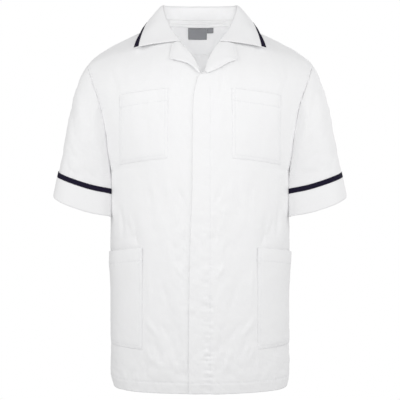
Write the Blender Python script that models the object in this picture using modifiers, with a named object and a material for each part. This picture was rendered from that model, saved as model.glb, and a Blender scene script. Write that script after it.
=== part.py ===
"""A short-sleeved work tunic with a revere collar, filled out as it is when worn, with nobody in it.

The tunic's own frame: +Z is up, -Y is the front, +X is the wearer's left, and the origin is the middle
of the neck at shoulder height, where the wearer holds it up. Tables and sizes are in millimetres.
"""

from collections import namedtuple
from math import asin, cos, hypot, pi, radians, sin

import bmesh
import bpy
from mathutils import Vector

MM = 0.001

# Cloth walls
CLOTH = 1.6
CUFF_CLOTH = 2.4
TAPE_CLOTH = 0.9
SEAM_GAP = 0.3
LAYER_GAP = 1.0

# The front closing: the left front lies over the right one
FLY_EDGE = -21.0
FLY_EDGE_TOP = -6.0
UNDERLAP_EDGE = 27.0
LAP_LIFT_END = 62.0
LAP_GAP = 1.5
LAP_FADE = 45.0
V_POINT_Z = -104.0
LAP_STEP_Z = -122.0

# Neck and shoulders
NECK_SIDE_X = 78.0
NECK_SIDE_Y = 4.0
NECK_BACK_Y = 70.0
NECK_BACK_Z = 23.0
SHOULDER_TIP_X = 236.0
SHOULDER_TOP_Z = 30.0
SHOULDER_TIP_Z = -74.0
SHOULDER_Y = 4.0

# The roundness of a body section: 2 is an ellipse, more is squarer
SECTION_POWER = 2.0 / 2.35

# A row is one level of a body half. mid is the centre line, side is the side seam or the armhole,
# and turn is the angle that the section turns through from the centre to the side.
BodyRow = namedtuple("BodyRow", "at mid_z mid_y side_x side_y side_z turn")
FRONT_ROWS = [
    BodyRow(0.00, -742, -137, 182.0, 0, -742, 90),
    BodyRow(0.04, -714, -140, 185.2, 0, -714, 90),
    BodyRow(0.14, -650, -141, 183.6, 0, -650, 90),
    BodyRow(0.25, -570, -141, 183.2, 0, -570, 90),
    BodyRow(0.40, -470, -141, 184.6, 0, -470, 90),
    BodyRow(0.55, -382, -140, 184.6, 0, -384, 90),
    BodyRow(0.66, -296, -139, 184.4, 0, -300, 90),
    BodyRow(0.72, -258, -137, 186.4, -32, -283, 80),
    BodyRow(0.79, -202, -134, 192.0, -58, -229, 68),
    BodyRow(0.85, -142, -125, 203.5, -61, -167, 60),
    BodyRow(0.905, -84, -100, 221.0, -46, -117, 54),
    BodyRow(0.96, -24, -54, 233.0, -19, -83, 48),
    BodyRow(1.00, SHOULDER_TOP_Z, SHOULDER_Y, SHOULDER_TIP_X, SHOULDER_Y, SHOULDER_TIP_Z, 45),
]
BACK_ROWS = [
    BodyRow(0.00, -742, 131, 182.0, 0, -742, 90),
    BodyRow(0.04, -714, 134, 185.2, 0, -714, 90),
    BodyRow(0.14, -650, 137, 183.6, 0, -650, 90),
    BodyRow(0.25, -570, 138, 183.2, 0, -570, 90),
    BodyRow(0.40, -470, 137, 184.6, 0, -470, 90),
    BodyRow(0.55, -382, 137, 184.6, 0, -384, 90),
    BodyRow(0.66, -296, 138, 184.4, 0, -300, 90),
    BodyRow(0.72, -258, 138, 186.4, 34, -283, 80),
    BodyRow(0.79, -204, 137, 192.0, 62, -229, 68),
    BodyRow(0.85, -152, 134, 203.5, 67, -170, 60),
    BodyRow(0.905, -104, 128, 216.0, 59, -130, 55),
]
ARMHOLE_AT = 0.66
# The yoke takes the back rows above this share of them
YOKE_AT = 0.905
YOKE_SHARE = 0.76
BACK_COLUMNS = 30
BACK_ROW_COUNT = 28

# A fold is a soft ridge (height above 0) or trough on the body, mirrored to the other side:
# its middle, the way it runs (degrees from level), half its length, half its width and its height.
Fold = namedtuple("Fold", "x z way long wide high")
FRONT_FOLDS = [
    Fold(134, -420, 78, 45, 20, -5.0),
    Fold(112, -405, 80, 60, 22, 3.0),
    Fold(70, -655, 62, 75, 24, 4.5),
    Fold(82, -690, 55, 60, 20, -3.5),
    Fold(118, -318, 84, 55, 24, -3.5),
    Fold(42, -560, 86, 110, 26, 2.5),
]
BACK_FOLDS = [
    Fold(60, -470, 86, 170, 34, -5.0),
    Fold(112, -430, 80, 150, 30, 4.0),
    Fold(95, -640, 84, 90, 28, -3.5),
    Fold(120, -250, 70, 70, 28, -3.0),
]

# Sleeves: the ring where the sleeve ends and the ring of the cuff's edge
Ring = namedtuple("Ring", "middle_x middle_z out_x out_z deep front_drop")
SLEEVE_END = Ring(242.6, -326.0, 53.4, 19.0, 59.0, 5.0)
CUFF_END = Ring(248.0, -364.5, 56.2, 20.5, 61.0, 12.5)
TRIM_WIDTH = 9.5

# The collar: one row for each place from the centre back to its front end. Each gives the neck seam,
# the fold and the leaf's outer edge.
CollarRow = namedtuple("CollarRow", "at seam_x seam_y seam_z fold_x fold_y fold_z edge_x edge_y edge_z")
COLLAR_ROWS = [
    CollarRow(0.00, 0, 69, 26, 0, 68, 60, 0, 96, 10),
    CollarRow(0.22, 40, 62, 26, 42, 61, 59, 52, 88, 10),
    CollarRow(0.42, 66, 40, 23, 68, 40, 56, 91, 62, 9),
    CollarRow(0.58, 76, 8, 18, 77, 14, 52, 114, 16, 9),
    CollarRow(0.72, 70, -19, 4, 71, -8, 26, 126, -22, -6),
    CollarRow(0.86, 57, -41, -13, 58, -34, -5, 133, -44, -25),
    CollarRow(1.00, 42, -60, -31, 40, -60, -31, 132, -56, -42),
]
COLLAR_ROLL = 5.0
COLLAR_TRIM_WIDTH = 8.0
FOLD_AT = 0.4

# A lapel: where the cloth turns at the roll line, and the lapel's outer edge, in front view
LapelRow = namedtuple("LapelRow", "at roll_x roll_z edge_x edge_z")
LEFT_LAPEL_ROWS = [
    LapelRow(0.0, 39, -38, 71, -38),
    LapelRow(0.2, 31, -47, 73, -48),
    LapelRow(0.4, 23, -61, 75, -60),
    LapelRow(0.6, 17, -74, 77, -71),
    LapelRow(0.8, 13, -88, 48, -83),
    LapelRow(1.0, 11, -101, 22, -99),
]
RIGHT_LAPEL_ROWS = [
    LapelRow(0.0, 39, -38, 56, -37),
    LapelRow(0.2, 30, -47, 58, -46),
    LapelRow(0.4, 20, -60, 60, -59),
    LapelRow(0.6, 11, -75, 62, -71),
    LapelRow(0.8, 5, -89, 34, -79),
    LapelRow(1.0, 1, -102, 8, -99),
]

# A lapel lies this far off the front, and rises this much more in its middle
LAPEL_GAP = 0.8
LAPEL_RISE = 1.2

# The roll line in front view on each front, from the point of the V up to the side of the neck
RollRow = namedtuple("RollRow", "at x")
LEFT_ROLL = [RollRow(-104, 10), RollRow(-62, 23), RollRow(-35, 41), RollRow(-3, 61), RollRow(14, 77)]
RIGHT_ROLL = [RollRow(-104, 1), RollRow(-62, 17), RollRow(-35, 41), RollRow(-3, 61), RollRow(14, 77)]

# Pockets in front view: the inner and outer edge, the top and bottom at each
Pocket = namedtuple("Pocket", "inner_x outer_x inner_top outer_top inner_bottom outer_bottom")
CHEST_POCKET = Pocket(62.5, 163.0, -134, -146, -274, -286)
SIDE_SEAM_X = 180.0
POCKET_CLOTH = 1.2
POCKET_SIDE = 0.994
HIP_POCKET = Pocket(119.0, SIDE_SEAM_X, -453, -469, -656, -660)

FACING_CLOTH = 1.0
FACING_COLUMNS = 14
FACING_ROWS = 3
FACING_GAP = 0.7
TAPE_GAP = 3.3
LABEL_CLOTH = 0.8
NECK_TAPE_HEIGHT = 9.0
NECK_TAPE_HALF_WIDTH = 66.0
LABEL_SIZE = (41.0, 33.0)
LABEL_LEFT = -26.0
TAB_SIZE = (17.0, 16.0)

STUD_COUNT = 6
STUD_X = 12.0
STUD_TOP_Z = -190.0
STUD_BOTTOM_Z = -702.0
STUD_RADIUS = 5.0
STUD_THICK = 1.0
STUD_GAP = 0.8

WHITE = (0.82, 0.83, 0.86, 1.0)
NAVY = (0.012, 0.010, 0.035, 1.0)
GREY = (0.22, 0.23, 0.25, 1.0)
NICKEL = (0.62, 0.62, 0.62, 1.0)


def clamp(value, low=0.0, high=1.0):
    return max(low, min(high, value))


def ease(value):
    """0 below 0, 1 above 1, and a smooth step between."""
    value = clamp(value)
    return value * value * (3.0 - 2.0 * value)


def mix(a, b, share):
    return a + (b - a) * share


def slope_at(before, here, after):
    """The slope of a smooth curve through a row, level where the values turn back."""
    rise, next_rise = here[1] - before[1], after[1] - here[1]
    if rise * next_rise <= 0:
        return 0.0
    return (after[1] - before[1]) / (after[0] - before[0])


def read_row(rows, at):
    """The row at a place between the table's rows, on smooth curves through them."""
    at = clamp(at, rows[0].at, rows[-1].at)
    upper = next(i for i in range(1, len(rows)) if at <= rows[i].at)
    start, end = rows[upper - 1], rows[upper]
    span = end.at - start.at
    share = (at - start.at) / span
    square, cube = share * share, share**3
    values = []
    for column in range(len(start)):
        a, b = start[column], end[column]
        slope_a = slope_b = (b - a) / span
        if upper > 1:
            slope_a = slope_at(
                (rows[upper - 2].at, rows[upper - 2][column]), (start.at, a), (end.at, b)
            )
        if upper < len(rows) - 1:
            slope_b = slope_at(
                (start.at, a), (end.at, b), (rows[upper + 1].at, rows[upper + 1][column])
            )
        values.append(
            (2 * cube - 3 * square + 1) * a
            + (cube - 2 * square + share) * slope_a * span
            + (3 * square - 2 * cube) * b
            + (cube - square) * slope_b * span
        )
    return type(start)(*values)


def body_row(rows, at):
    """A level of the body, with a corner in the curves where the armhole begins."""
    if at <= ARMHOLE_AT:
        return read_row([row for row in rows if row.at <= ARMHOLE_AT], at)
    return read_row([row for row in rows if row.at >= ARMHOLE_AT], at)


def bezier(start, leave, arrive, end, share):
    """A cubic curve from start to end with two handles."""
    rest = 1.0 - share
    return (
        start * rest**3
        + leave * (3 * rest * rest * share)
        + arrive * (3 * rest * share * share)
        + end * share**3
    )


def shoulder_drop(share):
    """How far the shoulder line has dropped, 0 at the neck's middle and 1 at the tip."""
    return 0.89 * share**1.45 + 0.11 * share**14


def shoulder_point(x):
    drop = shoulder_drop(clamp(x / SHOULDER_TIP_X))
    return Vector((x, SHOULDER_Y, mix(SHOULDER_TOP_Z, SHOULDER_TIP_Z, drop)))


def fold_height(folds, x, z):
    """How far the folds lift the cloth at a place in front view."""
    lift = 0.0
    for fold in folds:
        across, up = abs(x) - fold.x, z - fold.z
        way = radians(fold.way)
        along = (across * cos(way) + up * sin(way)) / fold.long
        beside = (up * cos(way) - across * sin(way)) / fold.wide
        if abs(along) < 1.0 and abs(beside) < 1.0:
            lift += fold.high * (1 - along * along) ** 2 * (1 - beside * beside) ** 2
    return lift


def arc_angle(row, x):
    """The angle round a section at which it reaches this far out."""
    reach = clamp(abs(x) / row.side_x) * sin(radians(row.turn)) ** SECTION_POWER
    return asin(clamp(reach ** (1.0 / SECTION_POWER)))


def body_section(row, around):
    """A place on one level: around is 0 at the centre line, 1 at the side, below 0 past the centre."""
    turn = radians(row.turn)
    angle = abs(around) * turn
    out = (sin(angle) / sin(turn)) ** SECTION_POWER
    level_out = cos(turn) ** SECTION_POWER if row.turn < 89.9 else 0.0
    back = (1.0 - max(cos(angle), 0.0) ** SECTION_POWER) / (1.0 - level_out)
    x = row.side_x * out
    z = mix(row.mid_z, row.side_z, shoulder_drop(out))
    y = mix(row.mid_y, row.side_y, back)
    return Vector((-x if around < 0 else x, y, z))


def front(around, at):
    """The inside of the front's cloth on the wearer's left."""
    place = body_section(body_row(FRONT_ROWS, at), around)
    place.y -= fold_height(FRONT_FOLDS, place.x, place.z)
    return place


def neck_top(x):
    """The back's top edge: the neck seam, then the shoulder seam."""
    if x >= NECK_SIDE_X:
        return shoulder_point(x)
    share = sin(pi / 2 * x / NECK_SIDE_X) ** 2
    side = shoulder_point(NECK_SIDE_X)
    bow = (1.0 - (x / NECK_SIDE_X) ** 2.2) ** 0.5
    return Vector((x, mix(NECK_SIDE_Y, NECK_BACK_Y, bow), mix(NECK_BACK_Z, side.z, share)))


def back(around, at):
    """The inside of the back's cloth on the wearer's left, the yoke above the shoulder blades curved in."""
    place = body_section(body_row(BACK_ROWS, min(at, YOKE_AT)), around)
    if at > YOKE_AT:
        out = place.x / BACK_ROWS[-1].side_x
        top = neck_top(out * SHOULDER_TIP_X)
        handle = 0.4 * (top - place).length
        leave = place + Vector((0.24 * out, -0.14, 0.95)) * handle
        arrive = top - Vector((0.24 * out**3, mix(-0.74, -0.82, out), mix(0.66, 0.52, out))) * handle
        place = bezier(place, leave, arrive, top, (at - YOKE_AT) / (1.0 - YOKE_AT))
    place.y += fold_height(BACK_FOLDS, place.x, place.z)
    return place


def outward(surface, around, at):
    """The direction out of the body at a place on the front or the back."""
    step = 0.004
    low, high = max(at - step, 0.0), min(at + step, 1.0)
    near, far = around - step, min(around + step, 1.0)
    if surface is back:
        near = max(near, 0.0)
    across = surface(far, at) - surface(near, at)
    up = surface(around, high) - surface(around, low)
    normal = across.cross(up).normalized()
    return normal if surface is front else -normal


def level(up):
    """The place on the body's tables of an evenly spaced row of cloth, which is denser in the yoke."""
    if up < YOKE_SHARE:
        return YOKE_AT * up / YOKE_SHARE
    return mix(YOKE_AT, 1.0, (up - YOKE_SHARE) / (1.0 - YOKE_SHARE))


def lay(surface, around, at, height):
    return surface(around, at) + outward(surface, around, at) * height


def find_place(surface, x, z):
    """The place on the front or back that shows at this x and z from straight ahead."""
    rows = FRONT_ROWS if surface is front else BACK_ROWS
    low, high = 0.0, 1.0
    for _ in range(30):
        at = (low + high) / 2
        row = body_row(rows, min(at, rows[-1].at))
        around = arc_angle(row, x) / radians(row.turn)
        if surface(around, at).z < z:
            low = at
        else:
            high = at
    return (around if x >= 0 else -around), at


def mirrored(point):
    return Vector((-point.x, point.y, point.z))


def cloth_material(name, colour, roughness=0.85, metallic=0.0):
    material = bpy.data.materials.new(name)
    material.use_nodes = True
    shader = material.node_tree.nodes["Principled BSDF"]
    shader.inputs["Base Color"].default_value = colour
    shader.inputs["Roughness"].default_value = roughness
    shader.inputs["Metallic"].default_value = metallic
    return material


def add_cloth(name, point_at, columns, rows, thickness, inside, colour, closed=False, side=1.0):
    """A piece of cloth: a grid laid on a surface, thickened away from the point inside.

    side is 1 to thicken outwards, 0 to both sides and -1 inwards.
    """
    mesh_data = bmesh.new()
    bmesh.ops.create_grid(mesh_data, x_segments=columns, y_segments=rows, size=1.0)
    for vertex in mesh_data.verts:
        vertex.co = point_at((vertex.co.x + 1) / 2, (vertex.co.y + 1) / 2) * MM
    if closed:
        bmesh.ops.remove_doubles(mesh_data, verts=mesh_data.verts, dist=1e-5)
    mesh_data.normal_update()
    facing = sum(
        face.normal.dot(face.calc_center_median() - inside * MM) for face in mesh_data.faces
    )
    if facing < 0:
        bmesh.ops.reverse_faces(mesh_data, faces=mesh_data.faces)
    mesh = bpy.data.meshes.new(name)
    mesh_data.to_mesh(mesh)
    mesh_data.free()
    mesh.shade_smooth()
    piece = bpy.data.objects.new(name, mesh)
    TUNIC.objects.link(piece)
    wall = piece.modifiers.new("Cloth", "SOLIDIFY")
    wall.thickness = thickness * MM
    wall.offset = side
    mesh.materials.append(cloth_material(name, colour))
    return piece


def fly_edge_x(z):
    """Where the left front's edge runs, a little to the wearer's right of the centre."""
    return mix(FLY_EDGE, FLY_EDGE_TOP, ease((z + 260.0) / (V_POINT_Z + 260.0)) ** 2)


def front_edge_x(z, on_top):
    """Where a front's edge runs at a height: the lap, then the roll line above the point of the V."""
    roll = LEFT_ROLL if on_top else RIGHT_ROLL
    if z >= V_POINT_Z:
        return read_row(roll, z).x
    share = ease((V_POINT_Z - z) / (V_POINT_Z - LAP_STEP_Z))
    if on_top:
        return mix(roll[0].x, fly_edge_x(z), share)
    return mix(roll[0].x, -UNDERLAP_EDGE, share)


def front_panel_place(share, at, on_top):
    """A place on a front: share is 0 at its front edge and 1 at the side seam or armhole."""
    row = body_row(FRONT_ROWS, at)
    turn = radians(row.turn)
    edge = 0.0
    for _ in range(4):
        height = mix(row.mid_z, row.side_z, shoulder_drop(clamp(abs(edge) / row.side_x)))
        edge = front_edge_x(height, on_top)
    start = arc_angle(row, edge) / turn
    if edge < 0:
        start = -start
    end = 1.0 - SEAM_GAP / 2 / (row.side_x * turn)
    return mix(start, end, share)


def lap_lift(x, z):
    """How far the left front is lifted by the right front's cloth below it."""
    past = (x - UNDERLAP_EDGE) / (LAP_LIFT_END - UNDERLAP_EDGE)
    return (CLOTH + LAP_GAP) * (1.0 - ease(past)) * ease((V_POINT_Z - z + LAP_FADE) / LAP_FADE)


def front_piece(name, on_top):
    """The left front lies on top and is lifted over the right front where they overlap."""

    def place(share, up):
        at = level(up)
        around = front_panel_place(share, at, on_top)
        point = front(around, at)
        if on_top:
            point = lay(front, around, at, lap_lift(point.x, point.z))
        if at > 0.999:
            point.y -= SEAM_GAP / 2
        return point if on_top else mirrored(point)

    middle = Vector((0, 0, -400))
    return add_cloth(name, place, 12, 28, CLOTH, middle, WHITE)


def back_piece():
    def place(share, up):
        around = 2.0 * share - 1.0
        reach = abs(around) * (1.0 - SEAM_GAP / 2 / 290.0)
        point = back(reach, level(up))
        if up > 0.999:
            point.y += SEAM_GAP / 2
        return mirrored(point) if around < 0 else point

    return add_cloth("back", place, BACK_COLUMNS, BACK_ROW_COUNT, CLOTH, Vector((0, 0, -400)), WHITE)


def armhole(turn):
    """The armhole on the wearer's left: turn is 0 at the shoulder, a quarter in front, a half below."""
    turn = turn % 1.0
    if turn <= 0.5:
        return front(1.0, mix(1.0, ARMHOLE_AT, turn * 2))
    return back(1.0, mix(ARMHOLE_AT, 1.0, turn * 2 - 1))


def ring_point(ring, turn):
    out, forward = cos(2 * pi * turn), sin(2 * pi * turn)
    return Vector(
        (
            ring.middle_x + ring.out_x * out,
            -ring.deep * forward,
            ring.middle_z + ring.out_z * out - ring.front_drop * forward,
        )
    )


def sleeve_start(turn):
    """The sleeve's first ring, clear of the body's wall all round the armhole."""
    low = (1.0 - cos(2 * pi * turn)) / 2
    clearance = mix(0.5, CLOTH * 2 + 2 * SEAM_GAP, low)
    return armhole(turn) + Vector((1.0, 0, -0.5 * (1 - low))).normalized() * clearance


def sleeve(turn, down):
    """The inside of the sleeve on the wearer's left: down is 0 at the armhole and 1 at the cuff."""
    low = (1.0 - cos(2 * pi * turn)) / 2
    forward = sin(2 * pi * turn)
    start, end = sleeve_start(turn), ring_point(SLEEVE_END, turn)
    length = (end - start).length
    leave = Vector((mix(0.52, 0.22, low), -0.30 * forward, mix(-0.86, -0.97, low))).normalized()
    arrive = Vector((0.19 * (1 - low) + 0.04, -0.02 * forward, -0.98)).normalized()
    return bezier(start, start + leave * length * 0.32, end - arrive * length * 0.38, end, down)


def cuff(turn, down):
    return ring_point(SLEEVE_END, turn).lerp(ring_point(CUFF_END, turn), down)


def sleeve_outward(turn, down):
    step = 0.01
    low, high = max(down - step, 0.0), min(down + step, 1.0)
    round_way = sleeve(turn + step, down) - sleeve(turn - step, down)
    along = sleeve(turn, high) - sleeve(turn, low)
    normal = round_way.cross(along).normalized()
    away = sleeve(turn, down) - sleeve(turn + 0.5, down)
    return normal if normal.dot(away) > 0 else -normal


def sleeve_pieces(side, mark):
    """The sleeve, its navy tape and the cuff on one side: mark is 1 on the wearer's left."""

    def on_side(point):
        return point if mark > 0 else mirrored(point)

    def sleeve_place(turn, down):
        return on_side(sleeve(turn, down))

    def cuff_place(turn, down):
        length = hypot(CUFF_END.middle_x - SLEEVE_END.middle_x, CUFF_END.middle_z - SLEEVE_END.middle_z)
        return on_side(cuff(turn, mix(SEAM_GAP / length, 1.0, down)))

    def trim_place(turn, down):
        start = ring_point(SLEEVE_END, turn)
        length = (start - sleeve_start(turn)).length
        at = 1.0 - mix(TRIM_WIDTH, 0.3, down) / length
        return on_side(sleeve(turn, at) + sleeve_outward(turn, at) * (CLOTH + SEAM_GAP))

    inside = on_side(Vector((SLEEVE_END.middle_x - 10.0, 0, SLEEVE_END.middle_z + 40.0)))
    in_cuff = on_side(Vector((CUFF_END.middle_x, 0, CUFF_END.middle_z + 15.0)))
    add_cloth(f"sleeve_{side}", sleeve_place, 26, 9, CLOTH, inside, WHITE, closed=True)
    add_cloth(f"cuff_{side}", cuff_place, 26, 2, CUFF_CLOTH, in_cuff, WHITE, closed=True)
    add_cloth(f"sleeve_trim_{side}", trim_place, 26, 1, TAPE_CLOTH, in_cuff, NAVY, closed=True)


def collar(along, up):
    """The collar's mid surface: along runs from -1 to 1 round the neck, up from the seam to the edge."""
    row = read_row(COLLAR_ROWS, abs(along))
    seam = Vector((row.seam_x, row.seam_y, row.seam_z))
    fold = Vector((row.fold_x, row.fold_y, row.fold_z))
    edge = Vector((row.edge_x, row.edge_y, row.edge_z))
    away = edge - fold
    flat_away = Vector((away.x, away.y, 0)).normalized()
    stand_height = (fold - seam).length
    if up <= FOLD_AT:
        share = up / FOLD_AT
        point = seam.lerp(fold, share)
    else:
        share = (up - FOLD_AT) / (1.0 - FOLD_AT)
        roll = COLLAR_ROLL * clamp(stand_height / 25.0, 0.35, 1.0)
        leave = fold + flat_away * roll * 1.9 + Vector((0, 0, roll * 0.25))
        arrive = fold.lerp(edge, 0.62) + flat_away * 3.0 + Vector((0, 0, 5.0))
        point = bezier(fold, leave, arrive, edge, share)
    return mirrored(point) if along < 0 else point


def collar_outward(along, up):
    """The direction away from the body on the collar's leaf."""
    step = 0.01
    high = min(up + step, 1.0)
    near, far = max(along - step, -1.0), min(along + step, 1.0)
    normal = (collar(far, up) - collar(near, up)).cross(collar(along, high) - collar(along, up - step))
    normal.normalize()
    return normal if normal.z > 0 else -normal


def collar_pieces():
    inside = Vector((0, 0, 20))

    def collar_place(across, up):
        return collar(2.0 * across - 1.0, up)

    def trim_place(across, up):
        along = 2.0 * across - 1.0
        row = read_row(COLLAR_ROWS, abs(along))
        leaf = hypot(row.edge_x - row.fold_x, row.edge_y - row.fold_y, row.edge_z - row.fold_z)
        width = COLLAR_TRIM_WIDTH / leaf * (1.0 - FOLD_AT) * 0.95
        at = 1.0 - width * (1.0 - up)
        return collar(along, at) + collar_outward(along, at) * (CLOTH / 2 + 2 * SEAM_GAP)

    add_cloth("collar", collar_place, 28, 10, CLOTH, inside, WHITE, side=0.0)
    add_cloth("collar_trim", trim_place, 28, 1, TAPE_CLOTH, inside, NAVY)


def lapel_piece(name, rows, mark):
    """The turned-back edge of a front, lying on it."""

    def place(out, down):
        row = read_row(rows, down)
        x, z = mix(row.roll_x, row.edge_x, out), mix(row.roll_z, row.edge_z, out)
        around, at = find_place(front, x, z)
        lift = CLOTH + LAPEL_GAP + LAPEL_RISE * sin(pi * clamp(out * 1.1))
        if mark > 0:
            lift += lap_lift(x, z)
        point = lay(front, around, at, lift)
        return point if mark > 0 else mirrored(point)

    return add_cloth(name, place, 5, 10, CLOTH, Vector((0, 0, -300)), WHITE)


def inside_back(x, depth, gap):
    """A place inside the back of the neck: a depth below the neck seam, and a gap in from the cloth."""
    around = arc_angle(BACK_ROWS[-1], abs(x) * BACK_ROWS[-1].side_x / SHOULDER_TIP_X)
    around /= radians(BACK_ROWS[-1].turn)
    height = (back(around, 1.0) - back(around, YOKE_AT)).length
    at = 1.0 - depth / height * (1.0 - YOKE_AT)
    point = lay(back, around, at, -gap)
    return mirrored(point) if x < 0 else point


def neck_inside_pieces():
    """The facing, the neck tape, the label and the size tab inside the back of the neck."""
    middle = Vector((0, 0, -100))

    def facing_place(across, up):
        around = (2.0 * across - 1.0) * FACING_COLUMNS / BACK_COLUMNS
        at = level(1.0 - (1.0 - up) * FACING_ROWS / BACK_ROW_COUNT)
        point = lay(back, abs(around), min(at, 0.999), -FACING_GAP)
        return mirrored(point) if around < 0 else point

    def tape_place(across, up):
        x = (2.0 * across - 1.0) * NECK_TAPE_HALF_WIDTH
        return inside_back(x, mix(NECK_TAPE_HEIGHT, 1.5, up), TAPE_GAP)

    def label_place(across, up):
        x = mix(LABEL_LEFT, LABEL_LEFT + LABEL_SIZE[0], across)
        top = NECK_TAPE_HEIGHT + 2 * SEAM_GAP
        return inside_back(x, mix(top + LABEL_SIZE[1], top, up), TAPE_GAP)

    def tab_place(across, up):
        left = LABEL_LEFT + LABEL_SIZE[0] + 2 * SEAM_GAP
        x = mix(left, left + TAB_SIZE[0], across)
        top = NECK_TAPE_HEIGHT + 2 * SEAM_GAP
        return inside_back(x, mix(top + TAB_SIZE[1], top, up), TAPE_GAP)

    facing_grid = (FACING_COLUMNS, FACING_ROWS)
    add_cloth("back_facing", facing_place, *facing_grid, FACING_CLOTH, middle, WHITE, side=-1.0)
    add_cloth("neck_tape", tape_place, 12, 1, LABEL_CLOTH, middle, WHITE, side=-1.0)
    add_cloth("neck_label", label_place, 4, 3, LABEL_CLOTH, middle, GREY, side=-1.0)
    add_cloth("size_tab", tab_place, 2, 1, LABEL_CLOTH, middle, GREY, side=-1.0)


def height_place(around, height):
    """The level of the front at which this place round it has a height."""
    low, high = 0.0, 1.0
    for _ in range(24):
        at = (low + high) / 2
        if front(around, at).z < height:
            low = at
        else:
            high = at
    return at


def pocket_piece(name, pocket, mark, columns, rows, mouth):
    """A patch pocket sewn on a front, its mouth standing a little proud."""

    def around_for(x, height):
        return POCKET_SIDE if x >= SIDE_SEAM_X else find_place(front, x, height)[0]

    def place(share, up):
        top = mix(pocket.inner_top, pocket.outer_top, share)
        bottom = mix(pocket.inner_bottom, pocket.outer_bottom, share)
        height = mix(bottom, top, up)
        inner = around_for(pocket.inner_x, height)
        outer = around_for(pocket.outer_x, height)
        around = mix(inner, outer, share)
        proud = mouth * sin(pi * mix(0.06, 0.94, share)) ** 0.6 * ease((up - 0.45) / 0.55)
        point = lay(front, around, height_place(around, height), CLOTH + LAYER_GAP + proud)
        return point if mark > 0 else mirrored(point)

    return add_cloth(name, place, columns, rows, POCKET_CLOTH, Vector((0, 0, -400)), WHITE)


def stud_pieces():
    """The backs of the press studs inside the right front, under the fly."""
    for number in range(STUD_COUNT):
        z = mix(STUD_TOP_Z, STUD_BOTTOM_Z, number / (STUD_COUNT - 1))
        around, at = find_place(front, STUD_X, z)
        seat = mirrored(lay(front, around, at, -STUD_GAP - STUD_THICK / 2))
        seat.x = STUD_X
        bpy.ops.mesh.primitive_cylinder_add(
            vertices=14, radius=STUD_RADIUS * MM, depth=STUD_THICK * MM, location=seat * MM
        )
        stud = bpy.context.object
        stud.name = f"stud_{number + 1}"
        facing = outward(front, around, at)
        stud.rotation_euler = facing.to_track_quat("Z", "Y").to_euler()
        for collection in list(stud.users_collection):
            collection.objects.unlink(stud)
        TUNIC.objects.link(stud)
        stud.data.materials.append(cloth_material(stud.name, NICKEL, 0.35, 1.0))


def clear_scene():
    for thing in list(bpy.data.objects):
        bpy.data.objects.remove(thing, do_unlink=True)


clear_scene()
TUNIC = bpy.data.collections.new("work_tunic")
bpy.context.scene.collection.children.link(TUNIC)

back_piece()
front_piece("front_left", True)
front_piece("front_right", False)
sleeve_pieces("left", 1)
sleeve_pieces("right", -1)
collar_pieces()
lapel_piece("lapel_left", LEFT_LAPEL_ROWS, 1)
lapel_piece("lapel_right", RIGHT_LAPEL_ROWS, -1)
neck_inside_pieces()
for side, mark in (("left", 1), ("right", -1)):
    pocket_piece(f"chest_pocket_{side}", CHEST_POCKET, mark, 6, 7, 1.0)
    pocket_piece(f"hip_pocket_{side}", HIP_POCKET, mark, 8, 9, 2.2)
stud_pieces()
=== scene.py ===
"""The looks of the work tunic: fine cloth laid on the plain solids, with its creases, seams and stitching.

Tables and sizes are in millimetres, in the tunic's own frame: +Z is up, -Y is the front and +X is the
wearer's left.
"""

from collections import namedtuple
from functools import lru_cache
from math import asin, cos, exp, hypot, pi, radians, sin

import bmesh
import bpy
import numpy as np
from mathutils import Matrix, Vector


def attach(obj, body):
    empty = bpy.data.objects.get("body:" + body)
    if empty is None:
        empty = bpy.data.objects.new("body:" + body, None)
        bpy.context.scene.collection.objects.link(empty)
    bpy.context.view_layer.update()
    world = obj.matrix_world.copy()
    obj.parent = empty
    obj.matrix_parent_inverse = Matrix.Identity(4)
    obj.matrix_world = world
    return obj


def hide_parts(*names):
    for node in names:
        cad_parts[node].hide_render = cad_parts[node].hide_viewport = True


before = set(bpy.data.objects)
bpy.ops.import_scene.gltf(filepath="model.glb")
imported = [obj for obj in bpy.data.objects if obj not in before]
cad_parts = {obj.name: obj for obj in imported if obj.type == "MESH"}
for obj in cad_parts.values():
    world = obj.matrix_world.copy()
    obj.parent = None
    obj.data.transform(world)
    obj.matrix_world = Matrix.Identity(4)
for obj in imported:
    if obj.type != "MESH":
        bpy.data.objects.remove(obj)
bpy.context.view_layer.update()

MM = 0.001

# The camera, level with the middle of the tunic
CAMERA_PLACE = (0.0, -2.5, -0.357)
CAMERA_LENS = 107.1
FLOOR_Z = -1.5
SKY_STRENGTH = 0.46

# Each soft light: its place, what it points at, its size and its power
LIGHTS = [
    ("Front light", (0.0, -1.4, 0.0), (0, 0, -0.2), 0.9, 6.6),
    ("Left light", (-2.0, -1.0, 0.45), (0, 0, -0.2), 1.2, 15.1),
    ("Right light", (2.0, -1.0, 0.45), (0, 0, -0.2), 1.2, 15.1),
    ("Inside light", (0.0, -0.05, -0.27), (0, 0.08, 0.0), 0.14, 0.22),
    ("Back light", (1.8, 1.9, 0.5), (0, 0, -0.35), 1.0, 12.5),
]

# Cloth walls, as they are laid on the inside of each solid's wall
SOLID_CLOTH = 1.6
CLOTH_LIFT = 0.4
CLOTH = 1.2
TAPE_CLOTH = 0.9
LABEL_CLOTH = 0.5

# The front closing: the left front lies over the right one
LAP_LIFT_END = 62.0
LAP_GAP = 0.2
LAP_FADE = 45.0
UNDERLAP_EDGE = 27.0
V_POINT_Z = -99.0
LAP_STEP_Z = -111.0
FLY_STITCH_X = 20.0
FLY_STITCH_TOP_Z = -125.0

# Neck and shoulders
NECK_SIDE_X = 78.0
NECK_SIDE_Y = 4.0
NECK_BACK_Y = 70.0
NECK_BACK_Z = 23.0
SHOULDER_TIP_X = 236.0
SHOULDER_TOP_Z = 30.0
SHOULDER_TIP_Z = -74.0
SHOULDER_Y = 4.0
SECTION_POWER = 2.0 / 2.35

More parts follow.
